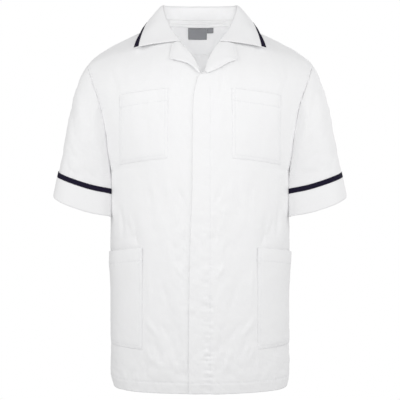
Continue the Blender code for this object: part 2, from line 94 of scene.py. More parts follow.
# A row is one level of a body half. mid is the centre line, side is the side seam or the armhole,
# and turn is the angle that the section turns through from the centre to the side.
BodyRow = namedtuple("BodyRow", "at mid_z mid_y side_x side_y side_z turn")
FRONT_ROWS = [
    BodyRow(0.00, -742, -137, 182.0, 0, -742, 90),
    BodyRow(0.04, -714, -140, 185.2, 0, -714, 90),
    BodyRow(0.14, -650, -141, 183.6, 0, -650, 90),
    BodyRow(0.25, -570, -141, 183.2, 0, -570, 90),
    BodyRow(0.40, -470, -141, 184.6, 0, -470, 90),
    BodyRow(0.55, -382, -140, 184.6, 0, -384, 90),
    BodyRow(0.66, -296, -139, 184.4, 0, -300, 90),
    BodyRow(0.72, -258, -137, 186.4, -32, -283, 80),
    BodyRow(0.79, -202, -134, 192.0, -58, -229, 68),
    BodyRow(0.85, -142, -125, 203.5, -61, -167, 60),
    BodyRow(0.905, -84, -100, 221.0, -46, -117, 54),
    BodyRow(0.96, -24, -54, 233.0, -19, -83, 48),
    BodyRow(1.00, SHOULDER_TOP_Z, SHOULDER_Y, SHOULDER_TIP_X, SHOULDER_Y, SHOULDER_TIP_Z, 45),
]
BACK_ROWS = [
    BodyRow(0.00, -742, 131, 182.0, 0, -742, 90),
    BodyRow(0.04, -714, 134, 185.2, 0, -714, 90),
    BodyRow(0.14, -650, 137, 183.6, 0, -650, 90),
    BodyRow(0.25, -570, 138, 183.2, 0, -570, 90),
    BodyRow(0.40, -470, 137, 184.6, 0, -470, 90),
    BodyRow(0.55, -382, 137, 184.6, 0, -384, 90),
    BodyRow(0.66, -296, 138, 184.4, 0, -300, 90),
    BodyRow(0.72, -258, 138, 186.4, 34, -283, 80),
    BodyRow(0.79, -204, 137, 192.0, 62, -229, 68),
    BodyRow(0.85, -152, 134, 203.5, 67, -170, 60),
    BodyRow(0.905, -104, 128, 216.0, 59, -130, 55),
]
ARMHOLE_AT = 0.66
YOKE_AT = 0.905
YOKE_SHARE = 0.76
BACK_COLUMNS = 30
BACK_ROW_COUNT = 28
FACING_ROWS = 3.55

# A crease is a soft ridge (height above 0) or trough, mirrored to the other side: its middle, the way
# it runs (degrees from level), half its length, half its width, its height and how far it bows.
Crease = namedtuple("Crease", "x z way long wide high bow")
FRONT_FOLDS = [
    Crease(134, -420, 78, 45, 20, -2.6, 0),
    Crease(112, -405, 80, 60, 22, 1.8, 0),
    Crease(118, -318, 84, 55, 24, -1.6, 0),
    Crease(42, -560, 86, 110, 26, 1.4, 0),
    Crease(78, -668, 66, 62, 30, 1.6, 0),
]
BACK_FOLDS = [
    Crease(60, -470, 86, 170, 34, -7.0, 0),
    Crease(112, -430, 80, 150, 30, 5.5, 0),
    Crease(95, -640, 84, 90, 28, -5.0, 0),
    Crease(120, -250, 70, 70, 28, -4.0, 0),
    Crease(22, -560, 88, 130, 20, 2.5, 0),
    Crease(152, -345, 58, 66, 14, -3.0, 8),
    Crease(146, -380, 52, 60, 13, 2.6, 8),
    Crease(158, -480, 80, 90, 16, 2.4, 0),
]
FRONT_CREASES = [
    Crease(158, -402, 84, 44, 7, -2.5, 0),
    Crease(138, -408, 78, 30, 7, 2, 2),
    Crease(129, -434, 74, 20, 6, -2.1, 2),
    Crease(36, -352, 70, 24, 8, -1.7, 3),
    Crease(48, -388, 95, 26, 9, 1.5, -3),
    Crease(30, -430, 84, 30, 8, -1.7, 4),
    Crease(52, -458, 78, 30, 9, -1.4, -4),
    Crease(40, -500, 60, 22, 7, 1.5, 3),
    Crease(64, -335, 82, 30, 9, 1.4, 2),
    Crease(78, -372, 100, 30, 9, -1.4, 3),
    Crease(100, -350, 88, 26, 8, -1.7, 0),
    Crease(102, -530, 88, 58, 7, 1.8, 0),
    Crease(68, -548, 76, 44, 9, -1.8, 2),
    Crease(96, -612, 54, 34, 9, 2.2, 3),
    Crease(82, -660, 74, 30, 8, -2.2, -2),
    Crease(54, -678, 71, 30, 8, 2.1, 2),
    Crease(108, -692, 84, 22, 7, -2, 0),
    Crease(102, -664, 72, 24, 6, 1.4, 2),
    Crease(66, -622, 62, 28, 7, -1.4, -2),
    Crease(40, -640, 80, 34, 7, -1.3, 2),
    Crease(30, -676, 84, 26, 6, 1.4, 0),
    Crease(124, -716, 80, 16, 5, 1.5, 0),
    Crease(138, -712, 84, 16, 5, -1.5, 0),
    Crease(150, -716, 82, 15, 5, 1.4, 0),
    Crease(45, -125, 82, 40, 9, -1.1, 3),
    Crease(58, -110, 84, 36, 9, 1, 3),
    Crease(176, -110, 74, 40, 8, -1.1, 4),
    Crease(160, -130, 78, 36, 9, 0.8, 4),
]
BACK_CREASES = [
    Crease(30, -160, 84, 70, 14, -1.8, 4),
    Crease(90, -150, 76, 60, 12, 1.8, 5),
    Crease(170, -150, 70, 50, 9, -2.0, 4),
    Crease(60, -520, 84, 90, 10, -2.2, 5),
    Crease(76, -540, 82, 80, 10, 2.2, 4),
    Crease(140, -420, 78, 60, 9, -2.0, 4),
    Crease(128, -600, 84, 60, 9, 2.0, 3),
    Crease(20, -660, 88, 50, 10, 1.7, 2),
    Crease(104, -705, 84, 24, 6, -1.4, 0),
]
SLEEVE_CREASES = [
    Crease(232, -170, 80, 60, 10, -1.6, 4),
    Crease(246, -180, 82, 64, 10, 1.6, 4),
    Crease(262, -200, 80, 60, 9, -1.5, 3),
    Crease(216, -210, 84, 50, 8, 1.3, 3),
    Crease(238, -290, 70, 30, 6, -1.2, 2),
    Crease(256, -292, 84, 24, 6, 1.2, 1),
    Crease(222, -290, 86, 24, 6, 1.0, 1),
    Crease(272, -286, 80, 22, 6, -1.0, 1),
    Crease(206, -292, 84, 20, 5, -1.0, 1),
]

# Sleeves: the ring where the sleeve ends and the ring of the cuff's edge
Ring = namedtuple("Ring", "middle_x middle_z out_x out_z deep front_drop")
SLEEVE_END = Ring(242.6, -326.0, 53.4, 19.0, 59.0, 5.0)
CUFF_END = Ring(248.0, -364.5, 56.2, 20.5, 61.0, 12.5)
TRIM_WIDTH = 9.5
RING_POWER = 0.70
# The front of the ring is pressed against the body beside it
RING_TUCK_X = 171.5
RING_TUCK_FORWARD = 5.0
RING_TUCK_AT = 0.355
RING_TUCK_REACH = 0.07

# The collar: one row for each place from the centre back to its front end. Each gives the neck seam,
# the fold and the leaf's outer edge.
CollarRow = namedtuple("CollarRow", "at seam_x seam_y seam_z fold_x fold_y fold_z edge_x edge_y edge_z")
COLLAR_ROWS = [
    CollarRow(0.00, 0, 69, 26, 0, 68, 60, 0, 96, 10),
    CollarRow(0.22, 40, 62, 26, 42, 61, 59, 52, 88, 10),
    CollarRow(0.42, 66, 40, 23, 68, 40, 56, 91, 62, 9),
    CollarRow(0.58, 76, 8, 18, 77, 14, 52, 114, 16, 9),
    CollarRow(0.72, 70, -19, 4, 71, -8, 26, 125.5, -23, -13),
    CollarRow(0.86, 57, -41, -13, 58, -34, -5, 132.5, -46, -32),
    CollarRow(1.00, 42, -60, -31, 40, -60, -31, 135.5, -60, -45),
]
COLLAR_ROLL = 5.0
COLLAR_BACK = 0.3
COLLAR_TRIM_WIDTH = 9.0
FOLD_AT = 0.4

# A lapel: where the cloth turns at the roll line, and the lapel's outer edge, in front view
LapelRow = namedtuple("LapelRow", "at roll_x roll_z edge_x edge_z")
LEFT_LAPEL_ROWS = [
    LapelRow(0.00, 41, -35, 71, -38),
    LapelRow(0.16, 33, -44, 73, -47),
    LapelRow(0.34, 25, -57, 75, -59),
    LapelRow(0.50, 19, -68, 76, -72),
    LapelRow(0.66, 15, -80, 55, -83),
    LapelRow(0.84, 12, -91, 34, -96),
    LapelRow(1.00, 10, -100, 13, -105),
]
RIGHT_LAPEL_ROWS = [
    LapelRow(0.00, 41, -35, 55, -37),
    LapelRow(0.16, 32, -45, 58, -46),
    LapelRow(0.34, 21, -58, 60, -59),
    LapelRow(0.50, 13, -70, 62, -72),
    LapelRow(0.66, 7, -82, 38, -78),
    LapelRow(0.84, 3, -92, 20, -87),
    LapelRow(1.00, 0, -100, 1, -105),
]
LAPEL_GAP = 0.6
LAPEL_RISE = 2.2

# Where a front's edge runs: the fly edge below, and the roll line above the point of the V
EdgeRow = namedtuple("EdgeRow", "at x")
FLY_EDGE_ROWS = [
    EdgeRow(-742, -23),
    EdgeRow(-555, -21.8),
    EdgeRow(-436, -19.8),
    EdgeRow(-357, -16.5),
    EdgeRow(-159, -13.9),
    EdgeRow(-139, -10.9),
    EdgeRow(-111, -5),
]
LEFT_ROLL = [EdgeRow(-99, 9.5), EdgeRow(-62, 23), EdgeRow(-35, 41), EdgeRow(-3, 61), EdgeRow(14, 77)]
RIGHT_ROLL = [EdgeRow(-99, 0), EdgeRow(-62, 17), EdgeRow(-35, 41), EdgeRow(-3, 61), EdgeRow(14, 77)]

# Pockets in front view: the inner and outer edge, the top and bottom at each, how far the mouth
# stands open, how deep its hem is, how far the sides are pressed down and how the seams pucker
Pocket = namedtuple(
    "Pocket", "inner_x outer_x inner_top outer_top inner_bottom outer_bottom mouth hem flush pucker"
)
CHEST_POCKET = Pocket(62.5, 163.0, -134, -146, -274, -286, 0.7, 26.0, 0.7, 0.2)
HIP_POCKET = Pocket(114.0, 180.0, -452, -466, -656, -652, 3.4, 26.0, 0.2, 0.55)
SIDE_SEAM_X = 180.0
POCKET_SIDE = 0.994

NECK_TAPE_HEIGHT = 8.0
NECK_TAPE_END = 0.74
NECK_TAPE_FREE = 0.42
NECK_TAPE_TURN = 0.06
COLLAR_TAPE_CLEAR = 0.87
COLLAR_TAPE_FADE = 0.12
SLEEVE_SEAM_CLEAR = 0.05
LABEL_SIZE = (41.0, 28.0)
LABEL_LEFT = -26.0
TAB_SIZE = (14.5, 12.5)

# Each cloth's cut, as far as it shows: its width, its length and its area, in metres, measured along
# the finished cloth, square to a sleeve on sleeves and cuffs, and what it is sewn on
Cut = namedtuple("Cut", "piece width length area sewn_on")

# Stitching
SEAM_STITCH = 6.0
ARMHOLE_STITCHES = (0.57, 0.985)
SHOULDER_STITCHES = ((0.02, 0.33), (0.67, 0.98))
LAPEL_STITCHES = (0.05, 0.9)
FACING_STITCH = 3.0
LABEL_STITCH = 1.0
STITCH_PITCH = 3.2
STITCH_LENGTH = 2.4
STITCH_THICK = 0.42
HEM_DEPTH = 22.0
POCKET_STITCH_ROWS = (1.6, 7.5)


def clamp(value, low=0.0, high=1.0):
    return max(low, min(high, value))


def ease(value):
    """0 below 0, 1 above 1, and a smooth step between."""
    value = np.clip(value, 0.0, 1.0)
    return value * value * (3.0 - 2.0 * value)


def mix(a, b, share):
    return a + (b - a) * share


def slope_at(before, here, after):
    """The slope of a smooth curve through a row, level where the values turn back."""
    rise, next_rise = here[1] - before[1], after[1] - here[1]
    if rise * next_rise <= 0:
        return 0.0
    return (after[1] - before[1]) / (after[0] - before[0])


def read_row(rows, at):
    """The row at a place between the table's rows, on smooth curves through them."""
    at = clamp(at, rows[0].at, rows[-1].at)
    upper = next(i for i in range(1, len(rows)) if at <= rows[i].at)
    start, end = rows[upper - 1], rows[upper]
    span = end.at - start.at
    share = (at - start.at) / span
    square, cube = share * share, share**3
    values = []
    for column in range(len(start)):
        a, b = start[column], end[column]
        slope_a = slope_b = (b - a) / span
        if upper > 1:
            slope_a = slope_at(
                (rows[upper - 2].at, rows[upper - 2][column]), (start.at, a), (end.at, b)
            )
        if upper < len(rows) - 1:
            slope_b = slope_at(
                (start.at, a), (end.at, b), (rows[upper + 1].at, rows[upper + 1][column])
            )
        values.append(
            (2 * cube - 3 * square + 1) * a
            + (cube - 2 * square + share) * slope_a * span
            + (3 * square - 2 * cube) * b
            + (cube - square) * slope_b * span
        )
    return type(start)(*values)


def body_row(rows, at):
    """A level of the body, with a corner in the curves where the armhole begins."""
    if at <= ARMHOLE_AT:
        return read_row([row for row in rows if row.at <= ARMHOLE_AT], at)
    return read_row([row for row in rows if row.at >= ARMHOLE_AT], at)


@lru_cache(maxsize=None)
def front_row(at):
    return body_row(FRONT_ROWS, at)


@lru_cache(maxsize=None)
def back_row(at):
    return body_row(BACK_ROWS, at)


@lru_cache(maxsize=None)
def collar_row(along):
    return read_row(COLLAR_ROWS, along)


def bezier(start, leave, arrive, end, share):
    """A cubic curve from start to end with two handles."""
    rest = 1.0 - share
    return (
        start * rest**3
        + leave * (3 * rest * rest * share)
        + arrive * (3 * rest * share * share)
        + end * share**3
    )


def shoulder_drop(share):
    """How far the shoulder line has dropped, 0 at the neck's middle and 1 at the tip."""
    return 0.89 * share**1.45 + 0.11 * share**14


def shoulder_point(x):
    drop = shoulder_drop(clamp(x / SHOULDER_TIP_X))
    return Vector((x, SHOULDER_Y, mix(SHOULDER_TOP_Z, SHOULDER_TIP_Z, drop)))


def crease_height(creases, x, z):
    """How far the creases lift the cloth at places in front view."""
    lift = np.zeros(np.shape(x))
    for crease in creases:
        across, up = np.abs(x) - crease.x, z - crease.z
        way = radians(crease.way)
        along = np.clip((across * cos(way) + up * sin(way)) / crease.long, -1, 1)
        beside = up * cos(way) - across * sin(way) - crease.bow * along * along
        beside = np.clip(beside / crease.wide, -1, 1)
        lift += crease.high * (1 - along * along) ** 2 * (1 - beside * beside) ** 2
    return lift


def arc_angle(row, x):
    """The angle round a section at which it reaches this far out."""
    reach = clamp(abs(x) / row.side_x) * sin(radians(row.turn)) ** SECTION_POWER
    return asin(clamp(reach ** (1.0 / SECTION_POWER)))


def body_section(row, around):
    """A place on one level: around is 0 at the centre line, 1 at the side, below 0 past the centre."""
    turn = radians(row.turn)
    angle = abs(around) * turn
    out = (sin(angle) / sin(turn)) ** SECTION_POWER
    level_out = cos(turn) ** SECTION_POWER if row.turn < 89.9 else 0.0
    back_share = (1.0 - max(cos(angle), 0.0) ** SECTION_POWER) / (1.0 - level_out)
    x = row.side_x * out
    z = mix(row.mid_z, row.side_z, shoulder_drop(out))
    y = mix(row.mid_y, row.side_y, back_share)
    return Vector((-x if around < 0 else x, y, z))


def front(around, at):
    """The inside of the front's cloth on the wearer's left."""
    return body_section(front_row(at), around)


def neck_top(x):
    """The back's top edge: the neck seam, then the shoulder seam."""
    if x >= NECK_SIDE_X:
        return shoulder_point(x)
    share = (x / NECK_SIDE_X) ** 8
    side = shoulder_point(NECK_SIDE_X)
    bow = (1.0 - (x / NECK_SIDE_X) ** 2.2) ** 0.5
    return Vector((x, mix(NECK_SIDE_Y, NECK_BACK_Y, bow), mix(NECK_BACK_Z, side.z, share)))


def back(around, at):
    """The inside of the back's cloth on the wearer's left, the yoke above the shoulder blades curved in."""
    place = body_section(back_row(min(at, YOKE_AT)), around)
    if at > YOKE_AT:
        out = place.x / BACK_ROWS[-1].side_x
        top = neck_top(out * SHOULDER_TIP_X)
        handle = 0.4 * (top - place).length
        leave = place + Vector((0.24 * out, -0.14, 0.95)) * handle
        arrive = top - Vector((0.24 * out**3, mix(-0.74, -0.82, out), mix(0.66, 0.52, out))) * handle
        place = bezier(place, leave, arrive, top, (at - YOKE_AT) / (1.0 - YOKE_AT))
    return place


def outward(surface, around, at):
    """The direction out of the body at a place on the front or the back."""
    step = 0.004
    low, high = max(at - step, 0.0), min(at + step, 1.0)
    near, far = around - step, min(around + step, 1.0)
    if surface is back:
        near = max(near, 0.0)
    across = surface(far, at) - surface(near, at)
    up = surface(around, high) - surface(around, low)
    normal = across.cross(up).normalized()
    return normal if surface is front else -normal


def level(up):
    """The place on the body's tables of an evenly spaced row of cloth, which is denser in the yoke."""
    if up < YOKE_SHARE:
        return YOKE_AT * up / YOKE_SHARE
    return mix(YOKE_AT, 1.0, (up - YOKE_SHARE) / (1.0 - YOKE_SHARE))


def lap_lift(x, z):
    """How far the left front is lifted by the right front's cloth below it."""
    past = (x - UNDERLAP_EDGE) / (LAP_LIFT_END - UNDERLAP_EDGE)
    return (SOLID_CLOTH + LAP_GAP) * (1.0 - ease(past)) * ease((V_POINT_Z - z + LAP_FADE) / LAP_FADE)


@lru_cache(maxsize=None)
def front_edge_x(z, on_top):
    """Where a front's edge runs at a height: the lap, then the roll line above the point of the V."""
    roll = LEFT_ROLL if on_top else RIGHT_ROLL
    if z >= V_POINT_Z:
        return read_row(roll, z).x
    share = float(ease((V_POINT_Z - z) / (V_POINT_Z - LAP_STEP_Z)))
    if on_top:
        return mix(roll[0].x, read_row(FLY_EDGE_ROWS, z).x, share)
    return mix(roll[0].x, -UNDERLAP_EDGE, share)


@lru_cache(maxsize=None)
def front_edge_around(at, on_top):
    """Where on a level of the body a front's edge is."""
    row = front_row(at)
    edge = 0.0
    for _ in range(5):
        height = mix(row.mid_z, row.side_z, shoulder_drop(clamp(abs(edge) / row.side_x)))
        edge = front_edge_x(height, on_top)
    start = arc_angle(row, edge) / radians(row.turn)
    return -start if edge < 0 else start


@lru_cache(maxsize=None)
def find_place(x, z):
    """The place on the front that shows at this x and z from straight ahead."""
    low, high = 0.0, 1.0
    for _ in range(26):
        at = (low + high) / 2
        row = front_row(at)
        around = arc_angle(row, x) / radians(row.turn)
        if front(around, at).z < z:
            low = at
        else:
            high = at
    return (around if x >= 0 else -around), at


@lru_cache(maxsize=None)
def height_place(around, height):
    """The level of the front at which this place round it has a height."""
    low, high = 0.0, 1.0
    for _ in range(20):
        at = (low + high) / 2
        if front(around, at).z < height:
            low = at
        else:
            high = at
    return at


def armhole(turn):
    """The armhole on the wearer's left: turn is 0 at the shoulder, a quarter in front, a half below."""
    turn = turn % 1.0
    if turn <= 0.5:
        return front(1.0, mix(1.0, ARMHOLE_AT, turn * 2))
    return back(1.0, mix(ARMHOLE_AT, 1.0, turn * 2 - 1))


def squarer(value):
    """Turns a circle's cosine or sine into that of a slightly squarer ring."""
    return abs(value) ** RING_POWER * (1.0 if value > 0 else -1.0)


def ring_pressed(turn):
    """How far the ring is pressed against the body at a place round it, from 0 to 1."""
    return exp(-(((turn % 1.0 - RING_TUCK_AT) / RING_TUCK_REACH) ** 2))


def ring_point(ring, turn):
    out, forward = squarer(cos(2 * pi * turn)), squarer(sin(2 * pi * turn))
    pressed = ring_pressed(turn)
    return Vector(
        (
            ring.middle_x + ring.out_x * out - (ring.middle_x - ring.out_x - RING_TUCK_X) * pressed,
            -ring.deep * forward - RING_TUCK_FORWARD * pressed,
            ring.middle_z + ring.out_z * out - ring.front_drop * forward,
        )
    )


def sleeve_start(turn):
    """The sleeve's first ring, sewn to the body's wall all round the armhole."""
    low = (1.0 - cos(2 * pi * turn)) / 2
    clearance = mix(0.2, SOLID_CLOTH, low)
    return armhole(turn) + Vector((1.0, 0, -0.5 * (1 - low))).normalized() * clearance


def sleeve(turn, down):
    """The inside of the sleeve on the wearer's left: down is 0 at the armhole and 1 at the cuff."""
    low = (1.0 - cos(2 * pi * turn)) / 2
    forward = sin(2 * pi * turn)
    start, end = sleeve_start(turn), ring_point(SLEEVE_END, turn)
    length = (end - start).length
    away = mix(0.52, 0.22, low) - 0.38 * ring_pressed(turn)
    leave = Vector((away, -0.30 * forward, mix(-0.86, -0.97, low))).normalized()
    arrive = Vector((0.19 * (1 - low) + 0.04, -0.02 * forward, -0.98)).normalized()
    return bezier(start, start + leave * length * 0.32, end - arrive * length * 0.38, end, down)


def collar(along, up):
    """The collar's mid surface: along runs from -1 to 1 round the neck, up from the seam to the edge."""
    row = deep = collar_row(abs(along))
    if abs(along) < COLLAR_BACK:
        deep = collar_row(along**2 * (2 * COLLAR_BACK - abs(along)) / COLLAR_BACK**2)
    seam = Vector((row.seam_x, deep.seam_y, row.seam_z))
    fold = Vector((row.fold_x, deep.fold_y, row.fold_z))
    edge = Vector((row.edge_x, deep.edge_y, row.edge_z))
    away = edge - fold
    flat_away = Vector((away.x, away.y, 0)).normalized()
    stand_height = (fold - seam).length
    if up <= FOLD_AT:
        point = seam.lerp(fold, up / FOLD_AT)
    else:
        roll = COLLAR_ROLL * clamp(stand_height / 25.0, 0.35, 1.0)
        leave = fold + flat_away * roll * 1.9 + Vector((0, 0, roll * 0.25))
        arrive = fold.lerp(edge, 0.62) + flat_away * 3.0 + Vector((0, 0, 5.0))
        point = bezier(fold, leave, arrive, edge, (up - FOLD_AT) / (1.0 - FOLD_AT))
    return Vector((-point.x, point.y, point.z)) if along < 0 else point


# Where the points of a cloth's grid lie: their x and z, the share across and up, and how far each
# is along the cloth from the first column and the first row
Ground = namedtuple("Ground", "x z across up from_edge from_start width height")

# A finished cloth: its object, the places of its columns and rows, its outer face and the way out of it
Shell = namedtuple("Shell", "piece columns rows outer normals")


def spread(*stretches):
    """Places from 0 to 1: each stretch is where it ends and how many steps it has."""
    places = [0.0]
    for end, steps in stretches:
        start = places[-1]
        places += [mix(start, end, (step + 1) / steps) for step in range(steps)]
    return places


def lengths_along(points, axis):
    """How far each point is from the first one along a row or a column."""
    steps = np.linalg.norm(np.diff(points, axis=axis), axis=2)
    first = np.zeros_like(np.take(steps, [0], axis=axis))
    return np.cumsum(np.concatenate([first, steps], axis=axis), axis=axis)


def cloth_normals(points, inside, closed):
    """The way out of the cloth at each point of its grid."""
    if closed:
        wrapped = np.concatenate([points[:, -2:-1], points, points[:, 1:2]], axis=1)
        across = np.gradient(wrapped, axis=1)[:, 1:-1]
    else:
        across = np.gradient(points, axis=1)
    normals = np.cross(across, np.gradient(points, axis=0))
    normals /= np.maximum(np.linalg.norm(normals, axis=2, keepdims=True), 1e-9)
    if np.sum(normals * (points - np.array(inside))) < 0:
        normals = -normals
    return normals


def lay_points(point_at, columns, rows):
    return np.array([[tuple(point_at(across, up)) for across in columns] for up in rows])


def flip(points):
    return points * np.array([-1.0, 1.0, 1.0])


def sew_cloth(name, points, columns, rows, inside, relief=None, lift=CLOTH_LIFT, thick=CLOTH, closed=False):
    """A cloth laid on a grid of points and thickened away from the point inside."""
    normals = cloth_normals(points, inside, closed)
    across, up = np.meshgrid(columns, rows)
    from_edge, from_start = lengths_along(points, 1), lengths_along(points, 0)
    ground = Ground(
        points[..., 0], points[..., 2], across, up, from_edge, from_start,
        from_edge[:, -1:], from_start[-1:, :],
    )
    height = lift + (relief(ground) if relief else 0.0) * np.ones(across.shape)
    points = points + normals * height[..., None]
    normals = cloth_normals(points, inside, closed)
    grid = bmesh.new()
    bmesh.ops.create_grid(grid, x_segments=len(columns) - 1, y_segments=len(rows) - 1, size=1.0)
    own_uv = grid.loops.layers.uv.new("cloth")
    places = {}
    for vertex in grid.verts:
        column = round((vertex.co.x + 1) / 2 * (len(columns) - 1))
        row = round((vertex.co.y + 1) / 2 * (len(rows) - 1))
        places[vertex.index] = (row, column)
        vertex.co = Vector(points[row, column]) * MM
    for face in grid.faces:
        for loop in face.loops:
            row, column = places[loop.vert.index]
            loop[own_uv].uv = (from_edge[row, column], from_start[row, column])
    if closed:
        bmesh.ops.remove_doubles(grid, verts=grid.verts, dist=1e-5)
    grid.normal_update()
    middle = Vector(inside) * MM
    if sum(face.normal.dot(face.calc_center_median() - middle) for face in grid.faces) < 0:
        bmesh.ops.reverse_faces(grid, faces=grid.faces)
    mesh = bpy.data.meshes.new(name)
    grid.to_mesh(mesh)
    grid.free()
    mesh.shade_smooth()
    piece = bpy.data.objects.new(name, mesh)
    bpy.context.scene.collection.objects.link(piece)
    wall = piece.modifiers.new("Cloth wall", "SOLIDIFY")
    wall.thickness = thick * MM
    wall.offset = 1.0
    return Shell(piece, columns, rows, points + normals * thick, normals)


def dress(shell, node, material):
    """The cloth rides on the body, stands for its solid and takes its finish."""
    piece = shell.piece
    piece.data.materials.append(material)
    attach(piece, "root")
    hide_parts(node)


def at_place(shell, across, up):
    """The outer face and the way out of a cloth at a share across and up."""
    column = np.interp(across, shell.columns, range(len(shell.columns)))
    row = np.interp(up, shell.rows, range(len(shell.rows)))
    left, low = int(min(column, len(shell.columns) - 2)), int(min(row, len(shell.rows) - 2))
    right_share, high_share = column - left, row - low

    def read(values):
        near = mix(values[low, left], values[low, left + 1], right_share)
        far = mix(values[low + 1, left], values[low + 1, left + 1], right_share)
        return Vector(mix(near, far, high_share))

    return read(shell.outer), read(shell.normals).normalized()


def across_where_x(shell, up, x):
    """The share across a row at which the cloth reaches this x."""
    row = int(round(float(np.interp(up, shell.rows, range(len(shell.rows))))))
    line = shell.outer[row, :, 0]
    order = np.argsort(line)
    return float(np.interp(x, line[order], np.array(shell.columns)[order]))


# Seams


def groove(distance, depth, width):
    """A narrow soft trough along a seam, at distances from it."""
    return -depth * np.exp(-((distance / width) ** 2))


def ripple(along, length, shift):
    """Uneven small waves along a seam, from -1 to 1."""
    slow = np.sin(2 * pi * along / (length * 4.3) + shift)
    return np.sin(2 * pi * along / length + shift + 1.3 * slow) * (0.65 + 0.35 * slow)


def gathers(distance, along, high, width, length, shift=0.0):
    """Small puckers across a seam that fade with the distance from it."""
    return high * ripple(along, length, shift) * np.exp(-((distance / width) ** 2))


def patches(x, z, wide, tall, seed):
    """Smooth uneven heights from -1 to 1 in patches of about this size, the same each time."""
    heights = np.random.default_rng(seed).uniform(-1.0, 1.0, (64, 64))
    across, up = x / wide + 32.0, z / tall + 32.0
    column, row = np.floor(across).astype(int), np.floor(up).astype(int)
    right, high = ease(across - column), ease(up - row)
    low = mix(heights[row % 64, column % 64], heights[row % 64, (column + 1) % 64], right)
    top = mix(heights[(row + 1) % 64, column % 64], heights[(row + 1) % 64, (column + 1) % 64], right)
    return mix(low, top, high)


def slack(x, z, high, seed=1):
    """The unevenness of a cloth that hangs free: soft upright folds with faint sharper creases."""
    lean = x + 0.12 * z
    soft = patches(lean, z, 26.0, 75.0, seed) + 0.5 * patches(x - 0.25 * z, z, 15.0, 38.0, seed + 1)
    sharp = 1.0 - np.abs(patches(x + 0.3 * z, z, 31.0, 52.0, seed + 2)) * 3.0
    return high * (soft + 0.25 * ease(sharp) * ease(0.5 + patches(x, z, 45.0, 60.0, seed + 3)))


# Cloth pieces

BODY_MIDDLE = (0, 0, -400)


def front_fall(x, z):
    """How the fronts' cloth rises and falls as it hangs, least smooth along the fly and by the hem."""
    fly = np.exp(-(((np.abs(x) - 20.0) / 42.0) ** 2)) * ease((-310.0 - z) / 120.0)
    rough = 0.3 + 0.7 * np.maximum(fly, ease((-600.0 - z) / 60.0))
    uneven = 0.8 * patches(x, z, 11.0, 15.0, 61) + 0.4 * patches(x + 0.4 * z, z, 6.5, 9.0, 64)
    creases = crease_height(FRONT_FOLDS + FRONT_CREASES, x, z)
    return creases + slack(x, z, 1.0, 11) + rough * uneven


def front_relief(on_top):
    def relief(ground):
        x, z = ground.x, ground.z
        lift = front_fall(x, z)
        side = ground.width - ground.from_edge
        lift += groove(side, 1.1, 3.0) + groove(ground.height - ground.from_start, 0.8, 3.0)
        lift += gathers(side, ground.from_start, 0.35, 9.0, 17.0, 0.4)
        beside_sleeve = ease((z + 405.0) / 30.0) * ease((-225.0 - z) / 40.0)
        from_seam = side - np.interp(z, (-300.0, -283.0, -229.0), (50.0, 22.0, 6.0))
        lift += 3.5 * beside_sleeve * np.exp(-((from_seam / 18.0) ** 2))
        hem = np.abs(ground.from_start - HEM_DEPTH)
        lift += groove(hem, 0.45, 1.6) + gathers(hem, ground.from_edge, 0.3, 9.0, 13.0, 1.1)
        lift += 0.4 * ease((HEM_DEPTH - ground.from_start) / 2.0)
        if on_top:
            lift += lap_lift(x, z)
            stitch = np.abs(x - FLY_STITCH_X)
            below = ease((V_POINT_Z - 25.0 - z) / 20.0)
            lift += groove(stitch, 0.5, 1.8) * below
            strong = 0.3 + 0.9 * ease((-500.0 - z) / 60.0) * ease((z + 725.0) / 25.0)
            puckers = patches(x - 3.0, z, 10.0, 4.6, 71) + 0.4 * ripple(z, 10.5, 0.3)
            lift += strong * below * puckers * np.exp(-(((x - 15.0) / 12.0) ** 2))
            lift += 0.35 * below * patches(x, z, 14.0, 6.0, 74) * np.exp(-((ground.from_edge / 7.0) ** 2))
            stud = np.hypot(x - 12.5, z + 703.0)
            lift += 0.55 * ease((6.5 - stud) / 1.6) - 0.35 * ease((3.6 - stud) / 1.6)
        return lift

    return relief


FRONT_COLUMNS = spread((0.18, 34), (0.96, 74), (1.0, 8))
FRONT_GRID_ROWS = spread((0.045, 22), (0.70, 190), (0.76, 26), (0.985, 52), (1.0, 6))


def hem_corner(point, around, at):
    """The hem is rounded up a little where it meets the side seams."""
    share = clamp(1.0 - at / 0.034) ** 2 * abs(around) ** 9
    return Vector((point.x * (1.0 - 0.022 * share), point.y, point.z + 9.0 * share))


def make_front(side, on_top, cloth):
    def place(share, up):
        at = level(up)
        around = mix(front_edge_around(at, on_top), 1.0, share)
        return hem_corner(front(around, at), around, at)

    points = lay_points(place, FRONT_COLUMNS, FRONT_GRID_ROWS)
    if not on_top:
        points = flip(points)
    shell = sew_cloth(
        f"{side}_front_cloth", points, FRONT_COLUMNS, FRONT_GRID_ROWS, BODY_MIDDLE, front_relief(on_top)
    )
    dress(shell, f"front_{side}", cloth)
    return shell


